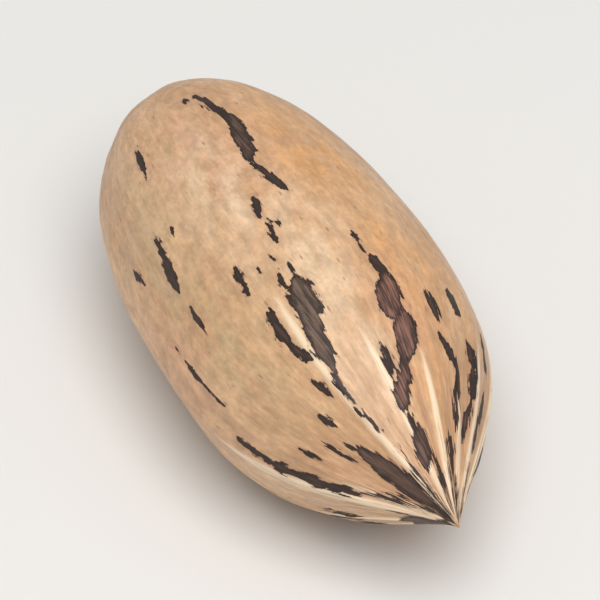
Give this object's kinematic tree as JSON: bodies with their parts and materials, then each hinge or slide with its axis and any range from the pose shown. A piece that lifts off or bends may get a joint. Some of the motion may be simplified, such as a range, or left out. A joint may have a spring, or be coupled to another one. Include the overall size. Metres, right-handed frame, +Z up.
{
  "type": "pecan in shell",
  "caption": "Smooth oblong nut in its closed woody shell, round at the base and pointed at the tip, with low seams and ridges that run into the tip. It lies on a small flat spot.",
  "frame": {"origin": "on the surface that the nut rests on, under the middle of its outline seen from above", "axes": "+X along the nut's length towards its pointed tip, +Y across it, +Z up from the flat spot that it rests on"},
  "size_m": [0.044, 0.02, 0.0192],
  "materials": {
    "shell": "smooth dry woody shell with a soft sheen, tan with broken dark brown streaks that run towards the tip"
  },
  "bodies": {
    "root": {"nut_in_shell": "shell"}
  },
  "joints": []
}
